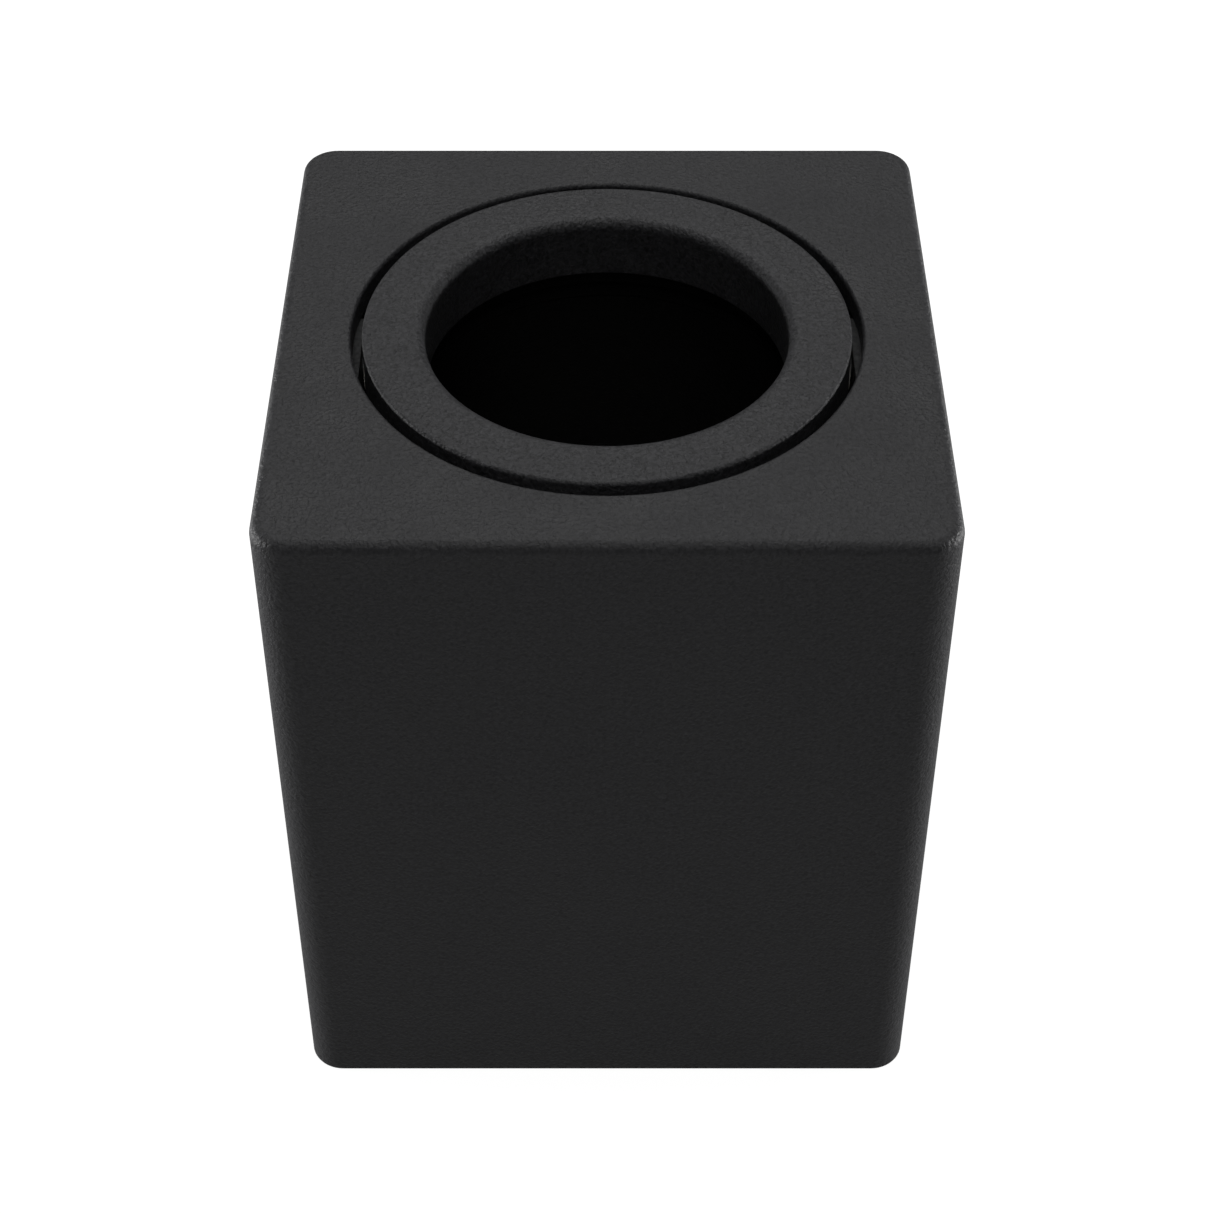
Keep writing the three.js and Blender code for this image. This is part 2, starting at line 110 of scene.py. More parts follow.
def cutWith(piece, tool, operation="DIFFERENCE"):
    addModifier(piece, "BOOLEAN", object=tool, operation=operation, solver="EXACT")
    bpy.data.objects.remove(tool)


# smooth over the round edges, flat on the faces
def finishShading(piece, angle=35):
    workOn(piece)
    bpy.ops.object.shade_smooth_by_angle(angle=math.radians(angle))
    addModifier(piece, "WEIGHTED_NORMAL", keep_sharp=True, weight=60)


# rounds the edges that pass the test, by an amount in mm
def roundEdges(piece, test, amount, steps):
    workOn(piece)
    bpy.ops.object.mode_set(mode="EDIT")
    choose(piece, "EDGE", test)
    bpy.ops.mesh.bevel(offset=amount * mm, segments=steps, affect="EDGES")
    bpy.ops.object.mode_set(mode="OBJECT")


# a block with round upright edges, from its lowest and highest corners in mm
def roundedBlock(name, low, high, corner, steps=12):
    size = [(h - l) * mm for l, h in zip(low, high)]
    middle = [(h + l) / 2 * mm for l, h in zip(low, high)]
    deselectAll()
    bpy.ops.mesh.primitive_cube_add(size=1, location=middle, scale=size)
    piece = applyPlace(nameNew(name))
    upright = size[2] * 0.9
    roundEdges(piece, lambda e: abs(e.verts[0].co.z - e.verts[1].co.z) > upright, corner, steps)
    return piece


def onAxis(along, at):
    turn = {"x": (0, math.pi / 2, 0), "z": (0, 0, 0)}[along]
    return [a * mm for a in at], turn


# a bar with flat ends, centred at a point; a far radius makes it a cone
def bar(name, radius, length, at, along="z", sides=48, farRadius=None):
    place, turn = onAxis(along, at)
    deselectAll()
    far = radius if farRadius is None else farRadius
    bpy.ops.mesh.primitive_cone_add(
        vertices=sides, radius1=radius * mm, radius2=far * mm, depth=length * mm,
        location=place, rotation=turn,
    )
    return applyPlace(nameNew(name))


# edges that run round the Z axis at a radius and a height
def ringEdge(radius, height, slack=0.03, level=0.01):
    def test(edge):
        return all(
            abs(v.co.xy.length - radius * mm) < slack * mm and abs(v.co.z - height * mm) < level * mm
            for v in edge.verts
        )
    return test


# a turned piece: one circle is extruded through the outline's points and joined to its start
def turned(name, outline, count=192):
    radius, height = outline[0]
    deselectAll()
    bpy.ops.mesh.primitive_circle_add(vertices=count, radius=radius * mm, enter_editmode=True)
    piece = nameNew(name)
    bpy.ops.transform.translate(value=(0, 0, height * mm))
    for nextRadius, nextHeight in outline[1:]:
        rise = (nextHeight - height) * mm
        bpy.ops.mesh.extrude_region_move(TRANSFORM_OT_translate={"value": (0, 0, rise)})
        ratio = nextRadius / radius
        bpy.ops.transform.resize(value=(ratio, ratio, 1), center_override=(0, 0, 0))
        radius, height = nextRadius, nextHeight
    choose(piece, "EDGE", lambda e: e.is_boundary)
    bpy.ops.mesh.bridge_edge_loops()
    bpy.ops.mesh.select_all(action="SELECT")
    bpy.ops.mesh.normals_make_consistent(inside=False)
    bpy.ops.object.mode_set(mode="OBJECT")
    return piece


# materials
def srgb(code):
    channels = [int(code[i:i + 2], 16) / 255 for i in (1, 3, 5)]
    return [c / 12.92 if c <= 0.04045 else ((c + 0.055) / 1.055) ** 2.4 for c in channels] + [1.0]


def newMaterial(name):
    material = bpy.data.materials.new(name)
    material.use_nodes = True
    material.node_tree.nodes.clear()
    return material, material.node_tree


# adds a node, sets its inputs or properties, and links what it reads
def addNode(tree, kind, settings=None, links=None):
    node = tree.nodes.new(kind)
    for key, value in (settings or {}).items():
        if isinstance(key, int) or key in node.inputs:
            node.inputs[key].default_value = value
        else:
            setattr(node, key, value)
    for key, source in (links or {}).items():
        tree.links.new(source, node.inputs[key])
    return node


# noise cells per metre for a grain of this many millimetres
def perGrain(size):
    return 1 / (size * mm)


# each of these adds one node and returns the output that the next one reads
def ownPlace(tree):
    return addNode(tree, "ShaderNodeTexCoord").outputs["Object"]


def noise(tree, place, size, detail=2, roughness=0.5, distortion=0.0):
    return addNode(
        tree, "ShaderNodeTexNoise",
        {"Scale": perGrain(size), "Detail": detail, "Roughness": roughness, "Distortion": distortion},
        {"Vector": place},
    ).outputs["Fac"]


# takes one range of a value to another, and cuts off what lies outside
def mapped(tree, value, low, high, newLow=0.0, newHigh=1.0):
    return addNode(
        tree, "ShaderNodeMapRange",
        {"From Min": low, "From Max": high, "To Min": newLow, "To Max": newHigh}, {"Value": value},
    ).outputs["Result"]


def mixed(tree, part, first, second):
    return addNode(
        tree, "ShaderNodeMix", {"data_type": "RGBA", 6: srgb(first), 7: srgb(second)}, {0: part}
    ).outputs[2]


# relief from a height, with its depth in mm, on top of another relief or alone
def relieved(tree, height, strength, depth, under=None):
    links = {"Height": height}
    if under is not None:
        links["Normal"] = under
    return addNode(
        tree, "ShaderNodeBump", {"Strength": strength, "Distance": depth * mm}, links
    ).outputs["Normal"]


# the second value is a number or another node's output
def reckoned(tree, operation, first, second=None):
    node = addNode(tree, "ShaderNodeMath", {"operation": operation}, {0: first})
    if isinstance(second, (int, float)):
        node.inputs[1].default_value = second
    elif second is not None:
        tree.links.new(second, node.inputs[1])
    return node.outputs["Value"]


# the surface's shader, and the material's output
def coverWith(tree, settings, colour, normal, roughness=None):
    links = {"Base Color": colour, "Normal": normal}
    if roughness is not None:
        links["Roughness"] = roughness
    shader = addNode(tree, "ShaderNodeBsdfPrincipled", settings, links)
    addNode(tree, "ShaderNodeOutputMaterial", links={"Surface": shader.outputs["BSDF"]})


# widths and depths of the powder coat's texture
coatTexture = {"clouds": 16, "grain": 0.5, "wrinkleDepth": 0.2, "pitDepth": 0.15}


# Thermoset polyester powder coat, fine texture, over die-cast aluminium: a matt black skin with a
# dense leathery grain about half a millimetre wide, and faint clouds where the film is thicker.
def makePowderCoat(name, relief, depth, dark="#252527", light="#2c2c2e", shine=0.4):
    t = coatTexture
    material, tree = newMaterial(name)
    place = ownPlace(tree)
    clouds = noise(tree, place, t["clouds"], detail=5, roughness=0.62)
    grain = noise(tree, place, t["grain"], distortion=0.8)
    pebbles = addNode(
        tree, "ShaderNodeTexVoronoi",
        {"feature": "SMOOTH_F1", "Scale": perGrain(t["grain"]), "Smoothness": 0.5},
        {"Vector": place},
    ).outputs["Distance"]
    film = mixed(tree, mapped(tree, clouds, 0.35, 0.65), dark, light)
    # painted shade: the grain's hollows are painted darker than its crests, by up to the depth's
    # share, as the shade that gathers in them
    paintedGrainShade = mapped(tree, grain, 0.3, 0.7, 1 - depth, 1 + depth)
    colour = addNode(
        tree, "ShaderNodeVectorMath", {"operation": "SCALE"}, {0: film, "Scale": paintedGrainShade}
    ).outputs["Vector"]
    roughness = mapped(tree, clouds, 0.3, 0.7, 0.48, 0.62)
    wrinkled = relieved(tree, grain, relief, t["wrinkleDepth"])
    pitted = relieved(tree, pebbles, relief * 0.6, t["pitDepth"], wrinkled)
    coverWith(tree, {"IOR": 1.5, "Specular IOR Level": shine}, colour, pitted, roughness)
    return material


# the ring is cast with a slightly coarser skin; the sleeve's coat is painted shade, near black and
# dead matt, for the shade deep inside the bore
housingCoat = makePowderCoat("powderCoatFineTextureHousing", relief=0.7, depth=0.45)
ringCoat = makePowderCoat(
    "powderCoatFineTextureRing", relief=0.9, depth=0.65, dark="#2c2c2e", light="#333335"
)
# painted shade: a near-black, dead matt coat that stands in for the shade inside the bore
boreShadeCoat = makePowderCoat(
    "powderCoatPaintedShadeSleeve", relief=0.6, depth=0.1, dark="#0c0c0c", light="#101010", shine=0.15
)


# A sheet or turned metal: fine rolling or turning lines along one axis, broken by soft patches of
# plating. The stretch is how many times longer than wide the lines are, along each axis.
def makeMetal(name, base, patch, rough, line, stretch, bump=0.12, metallic=1.0):
    material, tree = newMaterial(name)
    place = ownPlace(tree)
    drawn = addNode(
        tree, "ShaderNodeMapping", {"Scale": [1 / s for s in stretch]}, {"Vector": place}
    ).outputs["Vector"]
    lines = noise(tree, drawn, line, detail=3)
    patches = noise(tree, place, 9, detail=5, roughness=0.65)
    colour = mixed(tree, mapped(tree, patches, 0.35, 0.65), base, patch)
    roughness = mapped(tree, lines, 0.3, 0.7, rough * 0.8, rough * 1.25)
    relief = relieved(tree, lines, bump, depth=0.04)
    coverWith(tree, {"Metallic": metallic}, colour, relief, roughness)
    return material


# A moulded or pressed body: an even colour with faint mottling, and a fine skin from the tool.
def makeMoulded(name, base, mottle, rough, grain, bump, speck=None):
    material, tree = newMaterial(name)
    place = ownPlace(tree)
    skin = noise(tree, place, grain, detail=3)
    colour = mixed(tree, noise(tree, place, 6, detail=4), base, mottle)
    if speck:
        dots = mapped(tree, skin, 0.68, 0.74)
        colour = addNode(
            tree, "ShaderNodeMix", {"data_type": "RGBA", 7: srgb(speck)}, {0: dots, 6: colour}
        ).outputs[2]
    roughness = mapped(tree, skin, 0, 1, rough * 0.85, rough * 1.15)
    relief = relieved(tree, skin, bump, depth=0.05)
    coverWith(tree, {"IOR": 1.52}, colour, relief, roughness)
    return material


# Earth-wire insulation: green PVC with two straight yellow stripes along it.
def makeStriped(name, green, yellow, stripes=2, stripeShare=0.4):
    material, tree = newMaterial(name)
    wrap = addNode(tree, "ShaderNodeUVMap").outputs["UV"]
    girth = addNode(tree, "ShaderNodeSeparateXYZ", links={"Vector": wrap}).outputs["Y"]
    part = reckoned(tree, "FRACT", reckoned(tree, "MULTIPLY", girth, stripes))
    colour = mixed(tree, reckoned(tree, "LESS_THAN", part, stripeShare), green, yellow)
    relief = relieved(tree, noise(tree, ownPlace(tree), 0.4), strength=0.15, depth=0.04)
    coverWith(tree, {"Roughness": 0.42}, colour, relief)
    return material


finishes = {
    # cathodic dip paint on stamped steel: thin, satin and slightly brown-black
    "blackened_steel": makeMetal(
        "dipPaintedStampedSteel", "#0f1011", "#141516",
        rough=0.7, line=0.5, stretch=(1, 1, 1), bump=0.3, metallic=0.0,
    ),
    # phosphated and oiled spring steel and shoulder screws: nearly black, with drawing lines
    "spring_steel": makeMetal(
        "phosphatedSpringSteel", "#2c2d2e", "#393a3c",
        rough=0.5, line=0.15, stretch=(8, 1, 1), metallic=0.5,
    ),
    # electroplated zinc with a blue passivate on cold-rolled sheet: bluish, soft patches
    "zinc_plated_steel": makeMetal(
        "bluePassivatedZincPlate", "#a3a9b0", "#b9bdbf", rough=0.34, line=0.35, stretch=(14, 1, 1)
    ),
    # free-cutting brass bar, turned and left bare
    "brass": makeMetal(
        "turnedBrass", "#b18a3e", "#c9a358", rough=0.3, line=0.12, stretch=(1, 1, 6)
    ),
    # pressed and fired steatite, unglazed: chalky off-white with fine iron specks
    "steatite_ceramic": makeMoulded(
        "unglazedSteatite", "#ddd8cb", "#e8e4da", rough=0.6, grain=0.5, bump=0.35, speck="#a99f8c"
    ),
    # injection-moulded nylon with a satin tool skin
    "white_nylon": makeMoulded(
        "mouldedNylonSatin", "#d9d6cc", "#e3e0d8", rough=0.42, grain=0.35, bump=0.15
    ),
    # compression-moulded rubber with a dull skin
    "black_rubber": makeMoulded(
        "mouldedRubberBlack", "#181818", "#202020", rough=0.72, grain=0.4, bump=0.4
    ),
    # extruded silicone sleeves over the lamp leads
    "lead_brown": makeMoulded(
        "siliconeSleeveBrown", "#4d2c1a", "#5c3621", rough=0.5, grain=0.3, bump=0.2
    ),
    "lead_blue": makeMoulded(
        "siliconeSleeveBlue", "#1e4682", "#2a5595", rough=0.5, grain=0.3, bump=0.2
    ),
    "lead_green_yellow": makeStriped("earthWireInsulation", green="#2f7d33", yellow="#d9c22a"),
}
# the clip's spring wire is quenched in oil and left black
oilBlackedWire = makeMetal(
    "oilBlackedSpringWire", "#1b1b1c", "#232323",
    rough=0.45, line=0.15, stretch=(6, 1, 1), metallic=0.3,
)
print("stage 2: materials")


# gives a piece its finish, the slot's unless a material is given, its body, and hides the nodes that
# it stands for
def putOn(piece, body, slotName, replaced=(), material=None):
    piece.data.materials.clear()
    piece.data.materials.append(material or finishes[slotName])
    for node in replaced:
        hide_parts(node)
    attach(piece, body)


# housing
housingSize = {
    "corner": 4.6, "topEdge": 1.5, "footEdge": 0.25, "wall": 2.5, "face": 3,
    "hole": 33, "holeEdge": 0.55,
    "stud": 34.5, "studRadius": 1.5, "studLength": 5.5, "studDown": 2.25,
    "screwZ": 8, "screwHole": 1.8, "sink": 3.6, "sinkDepth": 1.8, "sinkIn": 0.8,
}


def buildHousing():
    s = housingSize
    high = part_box("housing_shell")[1] / mm
    half, top = high.x, high.z
    level = 0.01  # how near an edge has to be to the top or the foot
    shell = roundedBlock("housingShell", (-half, -half, 0), (half, half, top), s["corner"])
    roundEdges(shell, lambda e: all(v.co.z > (top - level) * mm for v in e.verts), s["topEdge"], 8)
    roundEdges(shell, lambda e: all(v.co.z < level * mm for v in e.verts), s["footEdge"], 2)
    inner = half - s["wall"]
    ceiling = top - s["face"]
    cavity = roundedBlock(
        "cavity", (-inner, -inner, -1), (inner, inner, ceiling), s["corner"] - s["wall"], 6
    )
    cutWith(shell, cavity)
    cutWith(shell, bar("opening", s["hole"], length=10, at=(0, 0, top), sides=256))
    roundEdges(shell, ringEdge(s["hole"], top), s["holeEdge"], 4)
    for x in (-s["stud"], s["stud"]):
        for y in (-s["stud"], s["stud"]):
            middle = (x, y, ceiling - s["studDown"])
            stud = bar("stud", s["studRadius"], s["studLength"], middle, sides=32)
            cutWith(shell, stud, "UNION")
    for sign in (-1, 1):
        x = sign * half
        cutWith(shell, bar("screwHole", s["screwHole"], length=8, at=(x, 0, s["screwZ"]), along="x"))
        # the sink's wide end faces outwards
        ends = (s["sink"], s["screwHole"]) if sign < 0 else (s["screwHole"], s["sink"])
        middle = (x - sign * s["sinkIn"], 0, s["screwZ"])
        cutWith(shell, bar("sink", ends[0], s["sinkDepth"], middle, "x", farRadius=ends[1]))
    finishShading(shell)
    putOn(shell, "housing", "powder_coat_black", ["housing_shell"], housingCoat)


buildHousing()
print("stage 3: housing")


# tilting ring and the sleeve behind it
ringSize = {
    "outer": 31.6, "outerEdge": 0.5, "bore": 23.5, "boreEdge": 1.5, "lip": 8.6, "seatEdge": 0.2,
    "side": 9.9, "sideEdge": 0.3,
    "skirt": 8.8, "skirtOuter": 28.4, "skirtInner": 25.75, "socket": 26.9, "socketDepth": 3.5,
    "groove": 26.8, "grooveHalf": 0.9, "clipUp": 4.8,
    "padHalf": 6.5, "padIn": 1.4, "padFlat": 28.6, "padDown": 1, "padEdge": 0.3,
    "pivotX": 31, "pivotZ": 94, "pivotHole": 1.8, "spotRadius": 3.4, "spotDepth": 1.3,
    "armScrewUp": 1.4, "armHole": 1.55,
}
sleeveSize = {
    "neck": 26.5, "neckLength": 3.5, "rimEdge": 0.3, "tipX": 26, "tipUp": 0.3, "tipHole": 1.5,
}


def buildRing():
    s = ringSize
    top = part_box("tilt_ring")[1].z / mm
    seat = top - s["lip"]
    foot = seat - s["skirt"]
    clipZ = foot + s["clipUp"]
    outline = [
        (s["bore"], seat), (s["bore"], top), (s["outer"], top), (s["outer"], top - s["side"]),
        (s["skirtOuter"], top - s["side"]), (s["skirtOuter"], foot), (s["socket"], foot),
        (s["socket"], foot + s["socketDepth"]), (s["skirtInner"], foot + s["socketDepth"]),
        (s["skirtInner"], clipZ - s["grooveHalf"]), (s["groove"], clipZ - s["grooveHalf"]),
        (s["groove"], clipZ + s["grooveHalf"]), (s["skirtInner"], clipZ + s["grooveHalf"]),
        (s["skirtInner"], seat),
    ]
    ring = turned("tiltRing", outline, 256)
    roundEdges(ring, ringEdge(s["outer"], top), s["outerEdge"], 4)
    roundEdges(ring, ringEdge(s["bore"], top), s["boreEdge"], 6)
    roundEdges(ring, ringEdge(s["bore"], seat), s["seatEdge"], 2)
    roundEdges(ring, ringEdge(s["outer"], top - s["side"]), s["sideEdge"], 2)
    for sign in (-1, 1):
        # the pad that the bracket's arm bears on
        near, far = sorted((sign * (s["skirtInner"] + s["padIn"]), sign * s["padFlat"]))
        low, high = (near, -s["padHalf"], foot), (far, s["padHalf"], clipZ - s["padDown"])
        cutWith(ring, roundedBlock("pad", low, high, s["padEdge"], 2), "UNION")
        # a flat for the friction washer, with the pivot screw's hole, and the arm screw's hole
        length = 4
        spot = (sign * (s["outer"] - s["spotDepth"] + length / 2), 0, s["pivotZ"])
        cutWith(ring, bar("spot", s["spotRadius"], length, spot, "x"))
        pivot = (sign * s["pivotX"], 0, s["pivotZ"])
        cutWith(ring, bar("pivotHole", s["pivotHole"], length=8, at=pivot, along="x"))
        arm = (sign * s["skirtOuter"], 0, foot + s["armScrewUp"])
        cutWith(ring, bar("armHole", s["armHole"], length=8, at=arm, along="x", sides=32))
    finishShading(ring)
    putOn(ring, "tilt_head", "powder_coat_black", ["tilt_ring"], ringCoat)
    # painted shade: behind the lip the ring takes the sleeve's near-black coat, standing in for the
    # shade inside the bore
    ring.data.materials.append(boreShadeCoat)
    reach, underLip = (s["groove"] + 0.2) * mm, (seat - 0.1) * mm
    for face in ring.data.polygons:
        if face.center.xy.length < reach and face.center.z < underLip:
            face.material_index = 1


def buildSleeve():
    s = sleeveSize
    inner = ringSize["skirtInner"]
    low, high = (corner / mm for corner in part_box("lamp_sleeve"))
    shoulder = high.z - s["neckLength"]
    outline = [
        (inner, low.z), (inner, high.z), (s["neck"], high.z), (s["neck"], shoulder),
        (high.x, shoulder), (high.x, low.z),
    ]
    sleeve = turned("lampSleeve", outline)
    for radius in (inner, high.x):
        roundEdges(sleeve, ringEdge(radius, low.z), s["rimEdge"], 2)
    for sign in (-1, 1):
        # room for the arm screw's tip
        tip = (sign * s["tipX"], 0, shoulder + s["tipUp"] + ringSize["armScrewUp"])
        cutWith(sleeve, bar("tipHole", s["tipHole"], length=4, at=tip, along="x", sides=32))
    finishShading(sleeve)
    # painted shade: the whole sleeve takes the near-black coat that stands in for the bore's shade
    putOn(sleeve, "tilt_head", "powder_coat_black", ["lamp_sleeve"], boreShadeCoat)


buildRing()
buildSleeve()
print("stage 4: ring and sleeve")


# stamped, turned and moulded pieces: a merged copy of the CAD solid, with its edges broken
# as stamping, tumbling or a moulding tool leaves them (edge widths in mm)
edgeBreaks = {
    "pivot_frame": 0.2, "mounting_plate": 0.22, "lamp_bracket": 0.2,
    "holder_body": 0.3, "holder_cover": 0.25, "terminal_block": 0.2,
    "cable_grommet": 0.2, "terminal_fixing_screw": 0.12,
    "contact_leaf_left": 0.08, "contact_leaf_right": 0.08,
    "earth_stud": 0.15, "earth_washer": 0.1, "earth_tag": 0.1, "earth_nut": 0.2,
}
for index in range(1, 5):
    edgeBreaks[f"push_nut_{index}"] = 0.15
for hand in ("left", "right"):
    edgeBreaks[f"friction_washer_{hand}"] = 0.12
    edgeBreaks[f"spring_washer_{hand}"] = 0.1
    for kind in ("pivot", "bracket", "holder"):
        edgeBreaks[f"{kind}_screw_{hand}"] = 0.15
    edgeBreaks[f"holder_nut_{hand}"] = 0.2
for pole in ("live", "earth", "neutral"):
    for end in ("supply", "lamp"):
        edgeBreaks[f"clamp_screw_{pole}_{end}"] = 0.12

# in mm and degrees: what is merged, what counts as flat, and what counts as an edge
edgeRule = {"merge": 0.002, "flat": 0.5, "edge": 38}

slotOf = {row["node"]: row["material_slot"] for row in frame["record"]["subparts"]}
bodyOf = {
    node: body for body, members in frame["record"]["behaviour"]["bodies"].items()
    for node in members
}


def breakEdges(node, width):
    mesh = nodes[node].data.copy()
    piece = bpy.data.objects.new(node + "_finished", mesh)
    bpy.context.collection.objects.link(piece)
    workOn(piece)
    bpy.ops.object.mode_set(mode="EDIT")
    bpy.ops.mesh.select_all(action="SELECT")
    bpy.ops.mesh.remove_doubles(threshold=edgeRule["merge"] * mm)
    bpy.ops.mesh.dissolve_limited(angle_limit=math.radians(edgeRule["flat"]))
    bpy.ops.object.mode_set(mode="OBJECT")
    addModifier(
        piece, "BEVEL", width=width * mm, segments=2, limit_method="ANGLE",
        angle_limit=math.radians(edgeRule["edge"]), miter_outer="MITER_ARC",
        use_clamp_overlap=True,
    )
    finishShading(piece)
    putOn(piece, bodyOf[node], slotOf[node], [node])


for node, width in edgeBreaks.items():
    breakEdges(node, width)
print("stage 5: stamped, turned and moulded pieces")


# countersunk hexagon-socket screws in the housing's sides
sideScrew = {
    "head": 3.1, "headDepth": 1.4, "shank": 1.5, "socket": 1.15, "socketDepth": 1.0, "edge": 0.12,
}


def buildSideScrews():
    s = sideScrew
    low, high = (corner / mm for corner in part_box("side_screw_right"))
    z = (low.z + high.z) / 2
    top = high.x
    head = (top - s["headDepth"] / 2, 0, z)
    screw = bar("sideScrewRight", s["shank"], s["headDepth"], head, "x", 64, s["head"])
    length = top - s["headDepth"] - low.x
    middle = (low.x + length / 2, 0, z)
    overlap = 0.2
    cutWith(screw, bar("shank", s["shank"], length + overlap, middle, "x", 32), "UNION")
    cutWith(screw, bar("socket", s["socket"], 2 * s["socketDepth"], (top, 0, z), "x", 6))
    addModifier(
        screw, "BEVEL", width=s["edge"] * mm, segments=3, limit_method="ANGLE",
        angle_limit=math.radians(edgeRule["edge"]),
    )
    other = bpy.data.objects.new("sideScrewLeft", screw.data.copy())
    bpy.context.collection.objects.link(other)
    other.rotation_euler = (0, 0, math.pi)
    applyPlace(other)
    for piece, node in ((screw, "side_screw_right"), (other, "side_screw_left")):
        finishShading(piece)
        putOn(piece, "housing", slotOf[node], [node])


buildSideScrews()
print("stage 6: side screws")


# leads and the lamp's wire clip: round tubes along the routes of the solids, in mm
def tubeAlong(name, points, radius):
    curve = bpy.data.curves.new(name, "CURVE")
    curve.dimensions = "3D"
    curve.resolution_u = 10
    curve.bevel_depth = radius * mm
    curve.bevel_resolution = 4
    curve.use_fill_caps = True
    spline = curve.splines.new("BEZIER")
    spline.bezier_points.add(len(points) - 1)
    for knot, point in zip(spline.bezier_points, points):
        knot.co = [c * mm for c in point]
        knot.handle_left_type = knot.handle_right_type = "AUTO"
    piece = bpy.data.objects.new(name, curve)
    bpy.context.collection.objects.link(piece)
    workOn(piece)
    bpy.ops.object.convert(target="MESH")
    bpy.ops.object.mode_set(mode="EDIT")
    bpy.ops.mesh.select_all(action="SELECT")
    bpy.ops.mesh.remove_doubles(threshold=0.001 * mm)
    bpy.ops.mesh.normals_make_consistent(inside=False)
    bpy.ops.object.mode_set(mode="OBJECT")
    finishShading(piece, 60)
    return piece


# routes in mm: the steps from the holder's outlet, the slack loop, and the earth lead's sweep
leadSize = {
    "radius": 1.2, "blockEnd": 28.5, "inBlock": 2, "pitch": 9.5,
    "entryX": 32.4, "entryZ": 9.5, "entryRise": 0.3,
}
lampRoute = {
    "outlet": (4, 34.8),
    "steps": [(0, 4.2, 0), (0, 9.5, 0), (2.5, 14.5, -3.5), (9, 18.5, -9.5)],
    "loop": [(22, 19.5, 21), (30, 17, 19), (34.5, 12.5, 16), (35, 9.9, 12)],
}
earthRoute = {
    "sweep": [(34.4, -5, 7.4), (34, -12, 5.2), (28, -20, 4.6), (14, -25.5, 4.6), (2, -24.6, 5.4)],
    "tag": [(-5, -23, 6), (-12, -23, 6)],
}


def buildLampLead(name, node, sign):
    s = leadSize
    x, z = lampRoute["outlet"]
    y = sign * s["pitch"]
    route = [(sign * x + right, sign * out, z + up) for right, out, up in lampRoute["steps"]]
    route += [(across, sign * out, up) for across, out, up in lampRoute["loop"]]
    route.append((s["entryX"], y, s["entryZ"] + s["entryRise"]))
    route.append((s["blockEnd"] - s["inBlock"], y, s["entryZ"]))
    lead = tubeAlong(name, route, s["radius"])
    lead.data.materials.append(finishes[slotOf[node]])
    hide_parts(node)
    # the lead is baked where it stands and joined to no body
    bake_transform(lead)


def buildEarthLead():
    s = leadSize
    clamp = (s["blockEnd"] - s["inBlock"], 0, s["entryZ"])
    mouth = (s["blockEnd"] + 3, -0.6, s["entryZ"] - 0.2)
    route = [clamp, mouth] + earthRoute["sweep"] + earthRoute["tag"]
    lead = tubeAlong("leadEarth", route, s["radius"])
    putOn(lead, "housing", slotOf["lead_earth"], ["lead_earth"])


# the clip is an open wire ring; its ends bend down and inwards to two finger tabs
clipSize = {
    "radius": 25.7, "wire": 0.6, "halfGap": 80, "steps": 14,
    "bend": {"drop": 2, "inward": 0.93}, "tip": {"drop": 5.5, "inward": 0.9},
}


def buildClip():
    s = clipSize
    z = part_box("lamp_clip")[0].z / mm + s["wire"] + s["tip"]["drop"]
    sweep = 360 - 2 * s["halfGap"]
    turns = [
        math.radians(90 + s["halfGap"] + sweep * i / s["steps"]) for i in range(s["steps"] + 1)
    ]
    arc = [(s["radius"] * math.cos(a), s["radius"] * math.sin(a), z) for a in turns]

    def tab(end, part):
        return (end[0] * part["inward"], end[1] * part["inward"], z - part["drop"])

    route = [tab(arc[0], s["tip"]), tab(arc[0], s["bend"])] + arc
    route += [tab(arc[-1], s["bend"]), tab(arc[-1], s["tip"])]
    clip = tubeAlong("lampClip", route, s["wire"])
    putOn(clip, "tilt_head", slotOf["lamp_clip"], ["lamp_clip"], oilBlackedWire)


buildLampLead("leadLive", "lead_live", 1)
buildLampLead("leadNeutral", "lead_neutral", -1)
buildEarthLead()
buildClip()
print("stage 7: leads and clip")


# camera, light and floor; the elevation is in degrees and the rest in mm
viewpoint = {"elevation": 43.01, "distance": 365.5, "aim": 51.2, "lens": 76.2, "sensor": 36}


def buildCamera():
    rise = math.radians(viewpoint["elevation"])
    reach = viewpoint["distance"] * mm
    place = (0, -reach * math.cos(rise), viewpoint["aim"] * mm + reach * math.sin(rise))
    deselectAll()
    bpy.ops.object.camera_add(location=place, rotation=(math.pi / 2 - rise, 0, 0))
    camera = bpy.context.object
    camera.data.lens = viewpoint["lens"]
    camera.data.sensor_width = viewpoint["sensor"]
    camera.data.clip_start = 0.01
    bpy.context.scene.camera = camera


# lights are soft boxes: place and aim in metres, size in metres, watts
softBoxes = {
    "behind": {"at": (0, 0.62, 0.85), "aim": (0, 0, 0.09), "size": (0.8, 0.5), "power": 3.5},
    "front": {"at": (0, -0.64, 0.86), "aim": (0, 0, 0.09), "size": (0.24, 0.36), "power": 1.05},
    "overhead": {"at": (0, -0.12, 1.0), "aim": (0, 0, 0.09), "size": (0.4, 0.3), "power": 1.5},
    "left": {"at": (-1.0, 0.25, 0.075), "aim": (0, 0, 0.06), "size": (0.5, 0.14), "power": 10},
    "right": {"at": (1.0, 0.25, 0.075), "aim": (0, 0, 0.06), "size": (0.5, 0.14), "power": 10},
}


def buildLights():
    for name, box in softBoxes.items():
        deselectAll()
        aim = Vector(box["aim"]) - Vector(box["at"])
        turn = aim.to_track_quat("-Z", "Y").to_euler()
        bpy.ops.object.light_add(type="AREA", location=box["at"], rotation=turn)
        light = bpy.context.object
        light.name = name
        light.data.shape = "RECTANGLE"
        light.data.size, light.data.size_y = box["size"]
        light.data.energy = box["power"]
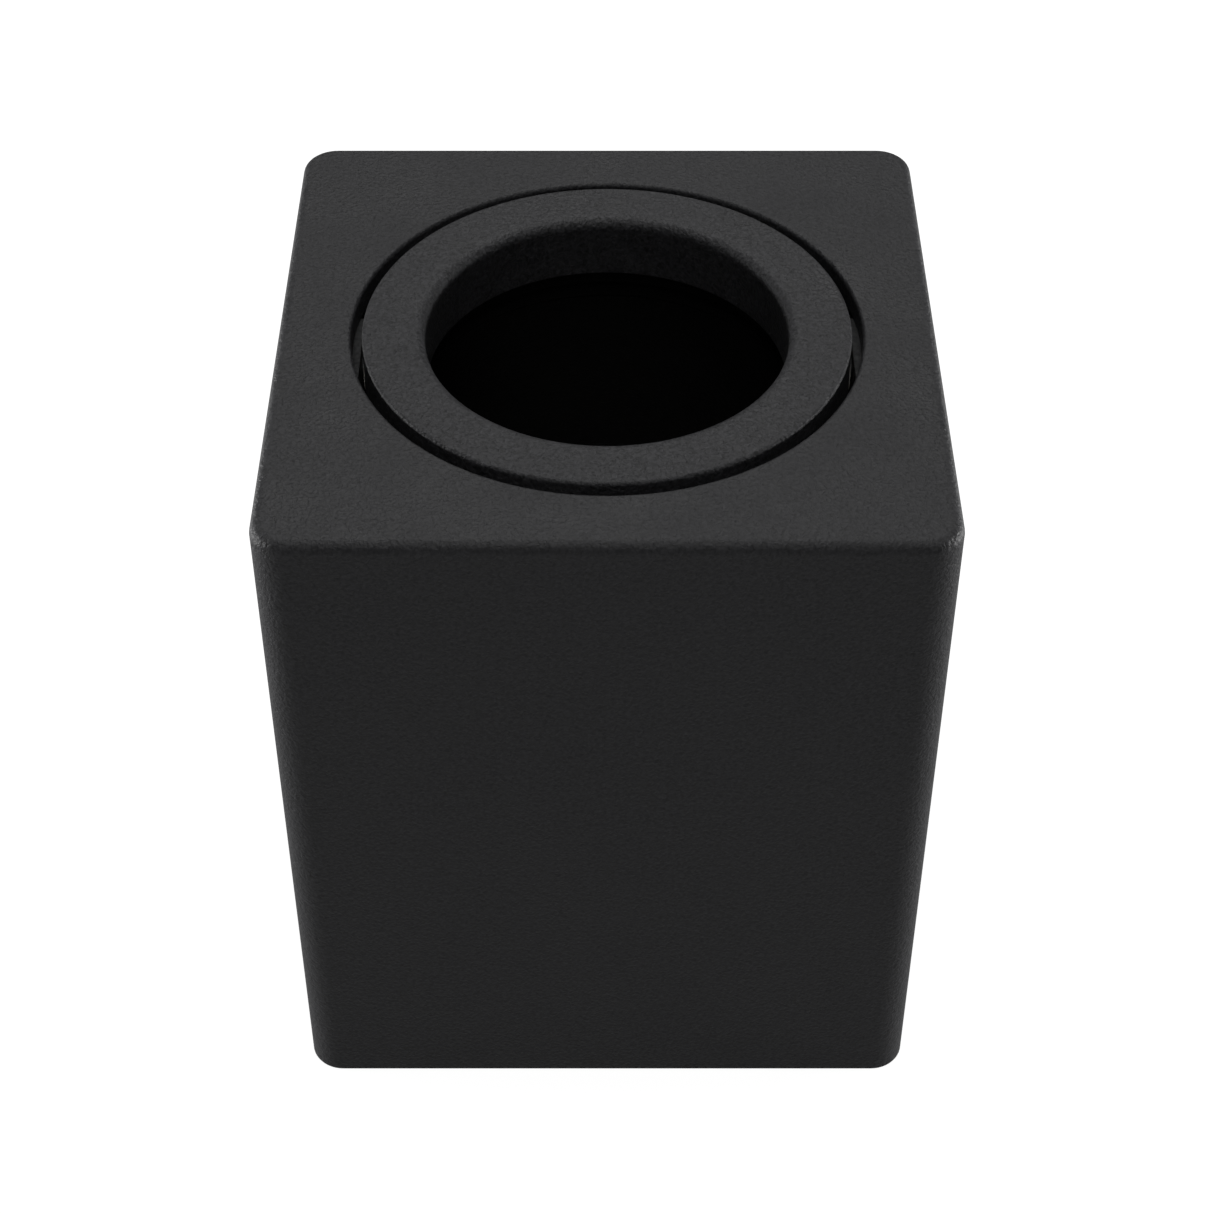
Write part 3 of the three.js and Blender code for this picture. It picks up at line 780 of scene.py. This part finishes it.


# brightness as the camera sees it and as it falls on the object; the radius is in metres,
# and the painted shadow square's half width and the floor's drop below the base are in mm
studio = {
    "sky": {"seen": 1.0, "bounced": 0.05},
    "floor": {"seen": 0.93, "bounced": 0.215},
    "paper": "#909090", "radius": 4, "drop": 0.1, "paintedShadowHalf": 40.5,
}


# white to the camera, but dim in the object's own reflections, as a swept-back studio floor is
def buildSurroundings():
    s = studio
    white = srgb("#ffffff")
    world = bpy.data.worlds.new("studio")
    bpy.context.scene.world = world
    world.use_nodes = True
    tree = world.node_tree
    tree.nodes.clear()
    seen = addNode(tree, "ShaderNodeLightPath").outputs["Is Camera Ray"]
    level = mapped(tree, seen, 0, 1, s["sky"]["bounced"], s["sky"]["seen"])
    sky = addNode(tree, "ShaderNodeBackground", {"Color": white}, {"Strength": level})
    addNode(tree, "ShaderNodeOutputWorld", links={"Surface": sky.outputs["Background"]})

    deselectAll()
    bpy.ops.mesh.primitive_circle_add(
        vertices=96, radius=s["radius"], fill_type="NGON", location=(0, 0, -s["drop"] * mm)
    )
    floor = nameNew("studioFloor")
    material, tree = newMaterial("paintedFloorWhite")
    seen = addNode(tree, "ShaderNodeLightPath").outputs["Is Camera Ray"]
    paper = addNode(tree, "ShaderNodeBsdfDiffuse", {"Color": srgb(s["paper"])})
    # painted shadow: under the object the floor's glow is turned off in a square, so it doesn't shine
    # through the plate's slots
    spot = addNode(tree, "ShaderNodeSeparateXYZ", links={"Vector": ownPlace(tree)})
    sides = [reckoned(tree, "ABSOLUTE", spot.outputs[axis]) for axis in "XY"]
    across = reckoned(tree, "MAXIMUM", sides[0], sides[1])
    clear = reckoned(tree, "GREATER_THAN", across, s["paintedShadowHalf"] * mm)
    shown = reckoned(tree, "MULTIPLY", clear, s["floor"]["seen"])
    strength = addNode(
        tree, "ShaderNodeMapRange", {"To Min": s["floor"]["bounced"]},
        {"Value": seen, "To Max": shown},
    ).outputs["Result"]
    glow = addNode(tree, "ShaderNodeEmission", {"Color": white}, {"Strength": strength})
    lit = addNode(
        tree, "ShaderNodeAddShader", links={0: paper.outputs["BSDF"], 1: glow.outputs["Emission"]}
    )
    # the floor shows from above only, so that the base can be looked at from below
    behind = addNode(tree, "ShaderNodeNewGeometry").outputs["Backfacing"]
    glass = addNode(tree, "ShaderNodeBsdfTransparent")
    paint = addNode(
        tree, "ShaderNodeMixShader",
        links={0: behind, 1: lit.outputs["Shader"], 2: glass.outputs["BSDF"]},
    )
    addNode(tree, "ShaderNodeOutputMaterial", links={"Surface": paint.outputs["Shader"]})
    floor.data.materials.append(material)


buildCamera()
buildLights()
buildSurroundings()
bpy.context.scene.view_settings.view_transform = "Standard"
print("stage 8: camera, light and floor")
